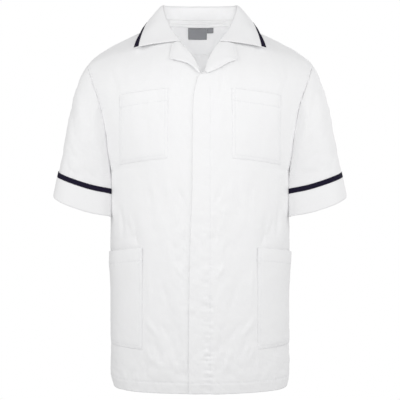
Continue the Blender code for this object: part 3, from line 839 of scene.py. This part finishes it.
def make_back(cloth):
    def place(share, up):
        around = 2.0 * share - 1.0
        point = hem_corner(back(abs(around), level(up)), around, level(up))
        return Vector((-point.x, point.y, point.z)) if around < 0 else point

    def relief(ground):
        x, z = ground.x, ground.z
        lift = crease_height(BACK_FOLDS, x, z) + crease_height(BACK_CREASES, x, z)
        lift += slack(x, z, 1.8, 31) + 0.5 * patches(x, z, 14.0, 24.0, 35)
        side = np.minimum(ground.from_edge, ground.width - ground.from_edge)
        lift += groove(side, 1.1, 3.0) + groove(ground.height - ground.from_start, 0.8, 3.0)
        hem = np.abs(ground.from_start - HEM_DEPTH)
        lift += groove(hem, 0.45, 1.6) + gathers(hem, ground.from_edge, 0.3, 9.0, 13.0, 0.2)
        lift += 0.4 * ease((HEM_DEPTH - ground.from_start) / 2.0)
        return lift

    columns = spread((0.015, 6), (0.985, 150), (1.0, 6))
    rows = spread((0.045, 22), (0.76, 160), (0.985, 44), (1.0, 6))
    shell = sew_cloth("back_cloth", lay_points(place, columns, rows), columns, rows, BODY_MIDDLE, relief)
    dress(shell, "back", cloth)
    return shell


def make_sleeves(cloth, navy):
    columns = spread((1.0, 112))
    rows = spread((0.03, 5), (0.96, 60), (1.0, 6))
    points = lay_points(sleeve, columns, rows)
    cuff_rows = spread((0.12, 3), (0.85, 10), (1.0, 5))
    cuff_points = lay_points(
        lambda turn, down: ring_point(SLEEVE_END, turn).lerp(ring_point(CUFF_END, turn), down),
        columns, cuff_rows,
    )
    trim_rows = spread((1.0, 5))

    def trim_place(turn, down):
        length = (ring_point(SLEEVE_END, turn) - sleeve_start(turn)).length
        return sleeve(turn, 1.0 - mix(TRIM_WIDTH, 0.2, down) / length)

    trim_points = lay_points(trim_place, columns, trim_rows)

    def off_seam(ground):
        """0 at the outer line where the ring of cloth closes, so that the puckers meet there."""
        return ease(np.minimum(ground.across, 1.0 - ground.across) / SLEEVE_SEAM_CLEAR)

    def sleeve_relief(ground):
        x, z = ground.x, ground.z
        lift = crease_height(SLEEVE_CREASES, x, z) + slack(x, z, 0.6, 41)
        lift += 0.9 * patches(x, z, 17.0, 24.0, 45) + 0.65 * patches(x + 0.5 * z, z, 8.5, 12.0, 46)
        lift += 0.35 * patches(x, z, 5.5, 7.5, 47)
        lift += groove(ground.from_start, 0.9, 2.5)
        lift += gathers(ground.from_start, ground.across * 520.0, 0.45, 14.0, 15.0, 0.5) * off_seam(ground)
        end = ground.height - ground.from_start
        lift += gathers(end, ground.across * 380.0, 0.7, 26.0, 19.0, 1.4) * off_seam(ground)
        pressed = np.exp(-(((ground.across - RING_TUCK_AT) / RING_TUCK_REACH) ** 2))
        return lift * ease(0.25 + end / 12.0) * (1.0 - 0.8 * pressed)

    def cuff_relief(ground):
        end = ground.height - ground.from_start
        lift = groove(ground.from_start, 0.7, 1.4) - 0.5 * ease(1 - end / 1.5)
        return 0.4 + lift + gathers(end, ground.across * 390.0, 0.35, 16.0, 31.0, 0.7) * off_seam(ground)

    shells = {}
    for side, mark in (("left", 1), ("right", -1)):
        turned = (lambda places: places) if mark > 0 else flip
        inside = (mark * (SLEEVE_END.middle_x - 10.0), 0, SLEEVE_END.middle_z + 40.0)
        in_cuff = (mark * CUFF_END.middle_x, 0, CUFF_END.middle_z + 15.0)
        tube = sew_cloth(
            f"{side}_sleeve_cloth", turned(points), columns, rows, inside, sleeve_relief, closed=True
        )
        band = sew_cloth(
            f"{side}_cuff_cloth", turned(cuff_points), columns, cuff_rows, in_cuff, cuff_relief,
            thick=1.9, closed=True,
        )
        tape = sew_cloth(
            f"{side}_sleeve_tape", turned(trim_points), columns, trim_rows, in_cuff,
            lambda ground: off_seam(ground)
            * gathers(ground.from_start, ground.across * 380.0, 0.25, 9.0, 19.0, 1.4),
            lift=SOLID_CLOTH + 0.25, thick=TAPE_CLOTH, closed=True,
        )
        dress(tube, f"sleeve_{side}", cloth)
        dress(band, f"cuff_{side}", cloth)
        dress(tape, f"sleeve_trim_{side}", navy)
        shells[side] = (tube, band, tape)
    return shells


def make_collar(cloth, navy):
    columns = spread((1.0, 168))
    rows = spread((FOLD_AT - 0.06, 10), (FOLD_AT + 0.12, 16), (0.96, 24), (1.0, 4))
    points = lay_points(lambda share, up: collar(2.0 * share - 1.0, up), columns, rows)

    def relief(ground):
        leaf = ease((ground.up - FOLD_AT - 0.1) / 0.2)
        soft = 0.5 * np.sin(ground.across * 31.0 + 0.5) * np.sin(ground.up * 7.0)
        below_tape = ease((COLLAR_TAPE_CLEAR - ground.up) / COLLAR_TAPE_FADE)
        return (soft + slack(ground.x * 1.4, ground.z * 3.0, 0.6)) * leaf * below_tape

    shell = sew_cloth(
        "collar_cloth", points, columns, rows, (0, 0, 20), relief, lift=-0.8, thick=SOLID_CLOTH
    )
    dress(shell, "collar", cloth)

    trim_rows = spread((1.0, 5))

    def trim_place(share, up):
        along = 2.0 * share - 1.0
        row = collar_row(abs(along))
        leaf = hypot(row.edge_x - row.fold_x, row.edge_y - row.fold_y, row.edge_z - row.fold_z)
        width = COLLAR_TRIM_WIDTH / leaf * (1.0 - FOLD_AT) * 0.95
        return collar(along, 1.0 - width * (1.0 - up))

    trim = sew_cloth(
        "collar_tape", lay_points(trim_place, columns, trim_rows), columns, trim_rows, (0, 0, 20),
        lift=0.85, thick=0.5,
    )
    dress(trim, "collar_trim", navy)
    return trim


def make_lapel(side, lapel_rows, mark, cloth):
    columns = spread((0.12, 4), (0.9, 22), (1.0, 4))
    rows = spread((1.0, 46))

    def place(out, down):
        row = read_row(lapel_rows, down)
        x, z = mix(row.roll_x, row.edge_x, out), mix(row.roll_z, row.edge_z, out)
        around, at = find_place(round(x, 2), round(z, 2))
        rise = LAPEL_RISE * sin(pi * clamp(out * 1.05)) ** 0.8 + LAPEL_GAP
        rise += 1.6 * float(ease((down - 0.45) / 0.1)) * out * out
        lift = SOLID_CLOTH + rise + front_fall(mark * x, z)
        if mark > 0:
            lift += lap_lift(x, z)
        return front(around, at) + outward(front, around, at) * float(lift)

    points = lay_points(place, columns, rows)
    if mark < 0:
        points = flip(points)
    shell = sew_cloth(
        f"{side}_lapel_cloth", points, columns, rows, (0, 0, -300),
        lambda ground: slack(ground.x * 1.5, ground.z * 1.5, 0.35), lift=0.0,
    )
    dress(shell, f"lapel_{side}", cloth)
    return shell


def inside_back(x, depth):
    """A place inside the back of the neck, a depth below the neck seam."""
    around = arc_angle(BACK_ROWS[-1], abs(x) * BACK_ROWS[-1].side_x / SHOULDER_TIP_X)
    around /= radians(BACK_ROWS[-1].turn)
    height = (back(around, 1.0) - back(around, YOKE_AT)).length
    point = back(around, 1.0 - depth / height * (1.0 - YOKE_AT))
    return Vector((-point.x, point.y, point.z)) if x < 0 else point


def make_neck_inside(cloth, tape_cloth, label_cloth):
    """The facing, the neck tape, the label and the size tab, thickened towards the wearer."""
    behind = (0, 400, 0)
    facing_columns = spread((1.0, 84))
    facing_rows = spread((0.06, 3), (1.0, 24))

    def facing_place(across, up):
        around = (2.0 * across - 1.0) * 14 / BACK_COLUMNS
        point = back(abs(around), min(level(1.0 - (1.0 - up) * FACING_ROWS / BACK_ROW_COUNT), 0.999))
        return Vector((-point.x, point.y, point.z)) if around < 0 else point

    facing = sew_cloth(
        "facing_cloth", lay_points(facing_place, facing_columns, facing_rows), facing_columns,
        facing_rows, behind,
        lambda ground: groove(ground.from_start - 3.0, 0.3, 1.2)
        + gathers(ground.from_start - 3.0, ground.from_edge, 0.25, 6.0, 12.0),
        lift=0.6, thick=0.8,
    )
    dress(facing, "back_facing", cloth)

    def band(name, node, slot, material, left, right, top, bottom, lift, steps):
        columns, rows = spread((1.0, steps[0])), spread((1.0, steps[1]))
        points = lay_points(
            lambda across, up: inside_back(mix(left, right, across), mix(bottom, top, up)), columns, rows
        )
        shell = sew_cloth(
            name, points, columns, rows, behind,
            lambda ground: slack(ground.x * 2.0 + 9.0, ground.z * 2.0, 0.25), lift=lift, thick=LABEL_CLOTH,
        )
        dress(shell, node, material)
        return shell

    top = NECK_TAPE_HEIGHT + 0.4
    right = LABEL_LEFT + LABEL_SIZE[0]
    tape_columns, tape_rows = spread((1.0, 150)), spread((1.0, 8))

    def tape_place(across, up):
        along = (2.0 * across - 1.0) * NECK_TAPE_END
        high = collar(along, 0.06)
        low = inside_back(high.x, NECK_TAPE_HEIGHT)
        hung = collar(along, 0.0) - Vector((0, 0, NECK_TAPE_HEIGHT))
        low = low.lerp(hung, float(ease((abs(along) - NECK_TAPE_FREE) / NECK_TAPE_TURN)))
        return low.lerp(high, up)

    tape = sew_cloth(
        "neck_seam_tape", lay_points(tape_place, tape_columns, tape_rows), tape_columns, tape_rows,
        behind, lambda ground: mix(1.1, -0.4, ground.up) + 0.4 * np.sin(pi * ground.up),
        lift=1.4, thick=LABEL_CLOTH,
    )
    dress(tape, "neck_tape", tape_cloth)
    label = band(
        "bare_label", "neck_label", "grey_label", label_cloth,
        LABEL_LEFT, right, top, top + LABEL_SIZE[1], 3.0, (30, 26),
    )
    tab = band(
        "bare_size_tab", "size_tab", "grey_label", label_cloth,
        right + 0.6, right + TAB_SIZE[0], top, top + TAB_SIZE[1], 2.8, (14, 12),
    )
    return facing, tape, label, tab


@lru_cache(maxsize=None)
def pocket_around(x, height):
    return POCKET_SIDE if x >= SIDE_SEAM_X else find_place(x, height)[0]


def make_pockets(name, pocket, cloth):
    columns = spread((0.04, 5), (0.13, 7), (0.93, 36), (1.0, 6))
    rows = spread((0.03, 5), (0.80, 44), (0.90, 10), (1.0, 12))

    def height_at(share, up):
        top = mix(pocket.inner_top, pocket.outer_top, share)
        bottom = mix(pocket.inner_bottom, pocket.outer_bottom, share)
        return mix(bottom, top, up)

    def place(share, up):
        height = round(height_at(share, up), 1)
        around = mix(pocket_around(pocket.inner_x, height), pocket_around(pocket.outer_x, height), share)
        return front(around, height_place(around, height))

    points = lay_points(place, columns, rows)

    def relief(ground):
        x, z = ground.x, ground.z
        edge = np.minimum(ground.from_edge, ground.width - ground.from_edge)
        edge = np.minimum(edge, ground.from_start)
        top = ground.height - ground.from_start
        full = np.sin(pi * np.clip(mix(0.04, 0.96, ground.across), 0, 1)) ** 0.6
        lift = front_fall(x, z) + 0.7 * ease(edge / 14.0)
        lift += pocket.mouth * full * ease((ground.up - 0.45) / 0.55)
        beside = np.minimum(ground.from_edge, ground.width - ground.from_edge)
        lift -= pocket.flush * (1.0 - ease(beside / 4.0))
        lift += groove(edge - 1.6, 0.15, 1.0) + groove(edge - 7.5, 0.15, 1.2)
        lift += gathers(edge - 4.0, ground.from_edge + ground.from_start, pocket.pucker, 6.0, 10.0, 0.8)
        hem = np.abs(top - pocket.hem)
        lift += groove(hem, 0.2, 1.4) + 0.3 * ease((pocket.hem - top) / 2.0)
        lift += gathers(hem, ground.from_edge, 0.3, 7.0, 12.0, 0.1)
        return lift + (0.5 + slack(x, z, 0.4, 51)) * ease(edge / 12.0)

    shells = {}
    for side in ("left", "right"):
        own = points if side == "left" else flip(points)
        shells[side] = sew_cloth(
            f"{side}_{name}_pocket_cloth", own, columns, rows, BODY_MIDDLE, relief,
            lift=SOLID_CLOTH - 0.1, thick=0.7,
        )
        dress(shells[side], f"{name}_pocket_{side}", cloth)
    return shells


# Stitching


def make_stitch():
    """One stitch of thread along X, lying on Z 0."""
    shape = bmesh.new()
    bmesh.ops.create_cone(
        shape, cap_ends=True, segments=6, radius1=STITCH_THICK / 2, radius2=STITCH_THICK / 2,
        depth=STITCH_LENGTH * 0.7, matrix=Matrix.Rotation(pi / 2, 4, "Y"),
    )
    ends = [face for face in shape.faces if len(face.verts) == 6]
    for end in bmesh.ops.inset_region(shape, faces=ends, thickness=STITCH_THICK * 0.22)["faces"]:
        end.normal_update()
    for end in ends:
        bmesh.ops.translate(shape, verts=end.verts, vec=end.normal * STITCH_LENGTH * 0.15)
    mesh = bpy.data.meshes.new("one_stitch")
    shape.to_mesh(mesh)
    shape.free()
    return mesh


def sew_line(total, stitch, places, pitch=STITCH_PITCH):
    """Adds a row of stitches along places on a cloth, each a point and the way out of the cloth."""
    points = [point for point, _ in places]
    lengths = [0.0]
    for start, end in zip(points, points[1:]):
        lengths.append(lengths[-1] + (end - start).length)
    spots = np.array([tuple(point) for point in points])
    ways = np.array([tuple(normal) for _, normal in places])

    def read(values, length):
        return Vector([float(np.interp(length, lengths, values[:, axis])) for axis in range(3)])

    count = int(lengths[-1] / pitch)
    for number in range(count):
        middle = (number + 0.5) * pitch
        along = (read(spots, middle + 0.8) - read(spots, middle - 0.8)).normalized()
        out = read(ways, middle).normalized()
        beside = out.cross(along).normalized()
        out = along.cross(beside)
        turn = Matrix((along, beside, out)).transposed().to_4x4()
        seat = Matrix.Translation((read(spots, middle) + out * STITCH_THICK * 0.12) * MM)
        one = stitch.copy()
        one.transform(seat @ turn @ Matrix.Scale(MM, 4))
        total.from_mesh(one)
        bpy.data.meshes.remove(one)


def across_at(shell, up, distance, from_last=False):
    """The share across at this distance along a row from its first or last column."""
    row = int(round(float(np.interp(up, shell.rows, range(len(shell.rows))))))
    lengths = lengths_along(shell.outer[row:row + 1], 1)[0]
    return float(np.interp(lengths[-1] - distance if from_last else distance, lengths, shell.columns))


def up_at(shell, across, distance, from_last=False):
    """The share up at this distance along a column from its first or last row."""
    column = int(round(float(np.interp(across, shell.columns, range(len(shell.columns))))))
    lengths = lengths_along(shell.outer[:, column:column + 1], 0)[:, 0]
    return float(np.interp(lengths[-1] - distance if from_last else distance, lengths, shell.rows))


def row_line(shell, distance, from_last=False, left=0.0, right=1.0, steps=80):
    """Places along a cloth at one distance from its first or last row."""
    shares = [mix(left, right, step / steps) for step in range(steps + 1)]
    return [at_place(shell, across, up_at(shell, across, distance, from_last)) for across in shares]


def column_line(shell, distance, from_last=False, low=0.0, high=1.0, steps=60):
    """Places up a cloth at one distance from its first or last column."""
    shares = [mix(low, high, step / steps) for step in range(steps + 1)]
    return [at_place(shell, across_at(shell, up, distance, from_last), up) for up in shares]


def pocket_stitches(total, stitch, shell, pocket, both_sides):
    """Two rows round a pocket and one along the hem of its mouth."""
    for distance in POCKET_STITCH_ROWS:
        low = up_at(shell, 0.1, distance)
        sew_line(total, stitch, column_line(shell, distance, low=low))
        left = across_at(shell, 0.05, distance)
        right = across_at(shell, 0.05, distance, True) if both_sides else 1.0
        sew_line(total, stitch, row_line(shell, distance, left=left, right=right))
        if both_sides:
            sew_line(total, stitch, column_line(shell, distance, True, low=low))
    left = across_at(shell, 0.9, POCKET_STITCH_ROWS[0])
    sew_line(total, stitch, row_line(shell, pocket.hem, True, left=left))


def tape_stitches(total, stitch, shell, margin=1.0, left=0.0, right=1.0):
    """A row of stitches near each long edge of a tape."""
    for from_last in (False, True):
        sew_line(total, stitch, row_line(shell, margin, from_last, left, right, 140))


def finish_stitches(total, name, material):
    mesh = bpy.data.meshes.new(name)
    total.to_mesh(mesh)
    total.free()
    mesh.shade_smooth()
    piece = bpy.data.objects.new(name, mesh)
    bpy.context.scene.collection.objects.link(piece)
    mesh.materials.append(material)
    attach(piece, "root")
    return piece


# Materials


def new_material(name, colour, roughness, sheen):
    material = bpy.data.materials.new(name)
    material.use_nodes = True
    shader = material.node_tree.nodes["Principled BSDF"]
    shader.inputs["Base Color"].default_value = (*colour, 1.0)
    shader.inputs["Roughness"].default_value = roughness
    shader.inputs["Sheen Weight"].default_value = sheen
    shader.inputs["Sheen Roughness"].default_value = 0.5
    return material, material.node_tree.nodes, material.node_tree.links, shader


def woven_material(name, colour, darker, thread, way, roughness=0.82, sheen=0.12, bump=0.35):
    """Cloth with a fine weave: thread is its spacing in millimetres, and way how its ribs run."""
    material, nodes, links, shader = new_material(name, colour, roughness, sheen)
    own = nodes.new("ShaderNodeUVMap")
    own.uv_map = "cloth"
    rib = nodes.new("ShaderNodeTexWave")
    rib.bands_direction = way
    rib.inputs["Scale"].default_value = 0.314 / thread
    rib.inputs["Distortion"].default_value = 0.6
    rib.inputs["Detail"].default_value = 1.0
    links.new(own.outputs["UV"], rib.inputs["Vector"])
    slub = nodes.new("ShaderNodeTexNoise")
    slub.inputs["Scale"].default_value = 0.35
    slub.inputs["Detail"].default_value = 4.0
    links.new(own.outputs["UV"], slub.inputs["Vector"])
    ramp = nodes.new("ShaderNodeMix")
    ramp.data_type = "RGBA"
    ramp.inputs["A"].default_value = (*darker, 1.0)
    ramp.inputs["B"].default_value = (*colour, 1.0)
    tone = nodes.new("ShaderNodeMath")
    tone.operation = "MULTIPLY_ADD"
    tone.inputs[1].default_value = 0.5
    tone.inputs[2].default_value = 0.35
    links.new(rib.outputs["Fac"], tone.inputs[0])
    blend = nodes.new("ShaderNodeMath")
    blend.operation = "MULTIPLY_ADD"
    blend.inputs[1].default_value = 0.3
    links.new(slub.outputs["Fac"], blend.inputs[0])
    links.new(tone.outputs["Value"], blend.inputs[2])
    links.new(blend.outputs["Value"], ramp.inputs["Factor"])
    links.new(ramp.outputs["Result"], shader.inputs["Base Color"])
    raised = nodes.new("ShaderNodeBump")
    raised.inputs["Strength"].default_value = bump
    raised.inputs["Distance"].default_value = 0.00015
    links.new(blend.outputs["Value"], raised.inputs["Height"])
    links.new(raised.outputs["Normal"], shader.inputs["Normal"])
    return material


def thread_material(name, colour):
    material, nodes, links, shader = new_material(name, colour, 0.55, 0.2)
    where = nodes.new("ShaderNodeTexCoord")
    twist = nodes.new("ShaderNodeTexNoise")
    twist.inputs["Scale"].default_value = 2200.0
    links.new(where.outputs["Object"], twist.inputs["Vector"])
    raised = nodes.new("ShaderNodeBump")
    raised.inputs["Strength"].default_value = 0.3
    raised.inputs["Distance"].default_value = 0.0001
    links.new(twist.outputs["Fac"], raised.inputs["Height"])
    links.new(raised.outputs["Normal"], shader.inputs["Normal"])
    return material


def stud_material():
    material, nodes, links, shader = new_material("Satin nickel stud", (0.62, 0.62, 0.62), 0.35, 0.0)
    shader.inputs["Metallic"].default_value = 1.0
    where = nodes.new("ShaderNodeTexCoord")
    rub = nodes.new("ShaderNodeTexNoise")
    rub.inputs["Scale"].default_value = 900.0
    links.new(where.outputs["Object"], rub.inputs["Vector"])
    spread_tone = nodes.new("ShaderNodeMapRange")
    spread_tone.inputs["To Min"].default_value = 0.28
    spread_tone.inputs["To Max"].default_value = 0.45
    links.new(rub.outputs["Fac"], spread_tone.inputs["Value"])
    links.new(spread_tone.outputs["Result"], shader.inputs["Roughness"])
    return material


def floor_material():
    material, _, _, _ = new_material("Pale floor", (0.82, 0.82, 0.82), 0.9, 0.0)
    return material


# Camera, floor and light


def make_camera():
    camera = bpy.data.objects.new("Camera", bpy.data.cameras.new("Camera"))
    camera.data.lens = CAMERA_LENS
    camera.data.sensor_width = 36.0
    camera.location = CAMERA_PLACE
    camera.rotation_euler = (pi / 2, 0, 0)
    bpy.context.scene.collection.objects.link(camera)
    bpy.context.scene.camera = camera


def make_floor():
    ground = bmesh.new()
    bmesh.ops.create_grid(ground, x_segments=1, y_segments=1, size=3.5)
    bmesh.ops.translate(ground, verts=ground.verts, vec=(0, 0, FLOOR_Z))
    mesh = bpy.data.meshes.new("floor")
    ground.to_mesh(mesh)
    ground.free()
    floor = bpy.data.objects.new("floor", mesh)
    bpy.context.scene.collection.objects.link(floor)
    mesh.materials.append(floor_material())


def make_light(name, place, target, size, power):
    light = bpy.data.lights.new(name, "AREA")
    light.size = size
    light.energy = power
    lamp = bpy.data.objects.new(name, light)
    lamp.location = place
    lamp.visible_camera = False
    lamp.rotation_euler = (Vector(place) - Vector(target)).to_track_quat("Z", "Y").to_euler()
    bpy.context.scene.collection.objects.link(lamp)


def make_studio():
    world = bpy.data.worlds.new("Studio")
    bpy.context.scene.world = world
    world.use_nodes = True
    nodes, links = world.node_tree.nodes, world.node_tree.links
    soft_sky = nodes["Background"]
    soft_sky.inputs["Color"].default_value = (1.0, 1.0, 1.0, 1.0)
    soft_sky.inputs["Strength"].default_value = SKY_STRENGTH
    backdrop = nodes.new("ShaderNodeBackground")
    backdrop.inputs["Color"].default_value = (1.0, 1.0, 1.0, 1.0)
    backdrop.inputs["Strength"].default_value = 1.0
    seen = nodes.new("ShaderNodeLightPath")
    choose = nodes.new("ShaderNodeMixShader")
    links.new(seen.outputs["Is Camera Ray"], choose.inputs["Fac"])
    links.new(soft_sky.outputs["Background"], choose.inputs[1])
    links.new(backdrop.outputs["Background"], choose.inputs[2])
    links.new(choose.outputs["Shader"], nodes["World Output"].inputs["Surface"])
    for name, place, target, size, power in LIGHTS:
        make_light(name, place, target, size, power)
    bpy.context.scene.view_settings.view_transform = "Standard"


make_camera()
make_floor()
make_studio()

white = woven_material("White twill", (0.90, 0.90, 0.905), (0.85, 0.85, 0.86), 0.9, "DIAGONAL")
navy = woven_material("Navy woven tape", (0.012, 0.009, 0.026), (0.006, 0.005, 0.014), 0.8, "X", 0.9, 0.0)
navy.node_tree.nodes["Principled BSDF"].inputs["Specular IOR Level"].default_value = 0.15
tape = woven_material("Herringbone neck tape", (0.88, 0.88, 0.88), (0.80, 0.80, 0.80), 1.1, "DIAGONAL")
grey = woven_material("Grey woven label", (0.25, 0.255, 0.27), (0.19, 0.195, 0.21), 0.6, "X", 0.6)
white_thread = thread_material("White thread", (0.80, 0.80, 0.83))
navy_thread = thread_material("Navy thread", (0.02, 0.018, 0.045))
grey_thread = thread_material("Grey thread", (0.10, 0.10, 0.11))
nickel = stud_material()

left_front = make_front("left", True, white)
right_front = make_front("right", False, white)
back_shell = make_back(white)
sleeves = make_sleeves(white, navy)
collar_tape = make_collar(white, navy)
left_lapel = make_lapel("left", LEFT_LAPEL_ROWS, 1, white)
right_lapel = make_lapel("right", RIGHT_LAPEL_ROWS, -1, white)
facing, neck_seam, label, tab = make_neck_inside(white, tape, grey)
chest_pockets = make_pockets("chest", CHEST_POCKET, white)
hip_pockets = make_pockets("hip", HIP_POCKET, white)

stitch = make_stitch()
sewing = bmesh.new()
for shell in (left_front, right_front, back_shell):
    sew_line(sewing, stitch, row_line(shell, HEM_DEPTH, steps=160))
fly_line = [
    at_place(left_front, across_where_x(left_front, up, FLY_STITCH_X), up)
    for up in spread((1.0, 240))[:-1]
]
sew_line(sewing, stitch, [place for place in fly_line if place[0].z < FLY_STITCH_TOP_Z])
for side in ("left", "right"):
    pocket_stitches(sewing, stitch, chest_pockets[side], CHEST_POCKET, True)
    pocket_stitches(sewing, stitch, hip_pockets[side], HIP_POCKET, False)
for shell in (left_front, right_front, back_shell):
    sew_line(sewing, stitch, column_line(shell, SEAM_STITCH, True, *ARMHOLE_STITCHES))
sew_line(sewing, stitch, column_line(back_shell, SEAM_STITCH, False, *ARMHOLE_STITCHES))
for left, right in SHOULDER_STITCHES:
    sew_line(sewing, stitch, row_line(back_shell, SEAM_STITCH, True, left, right))
for shell in (left_lapel, right_lapel):
    sew_line(sewing, stitch, column_line(shell, SEAM_STITCH, True, *LAPEL_STITCHES))
tape_stitches(sewing, stitch, neck_seam)
sew_line(sewing, stitch, row_line(facing, FACING_STITCH, steps=120))
white_stitches = finish_stitches(sewing, "white_stitches", white_thread)

sewing = bmesh.new()
for side in ("left", "right"):
    tape_stitches(sewing, stitch, sleeves[side][2])
tape_stitches(sewing, stitch, collar_tape)
navy_stitches = finish_stitches(sewing, "navy_stitches", navy_thread)

sewing = bmesh.new()
for shell in (label, tab):
    tape_stitches(sewing, stitch, shell)
    for from_last in (False, True):
        sew_line(sewing, stitch, column_line(shell, LABEL_STITCH, from_last))
grey_stitches = finish_stitches(sewing, "grey_stitches", grey_thread)
bpy.data.meshes.remove(stitch)

for name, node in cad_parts.items():
    if name.startswith("stud_"):
        for slot in node.material_slots:
            slot.material = nickel
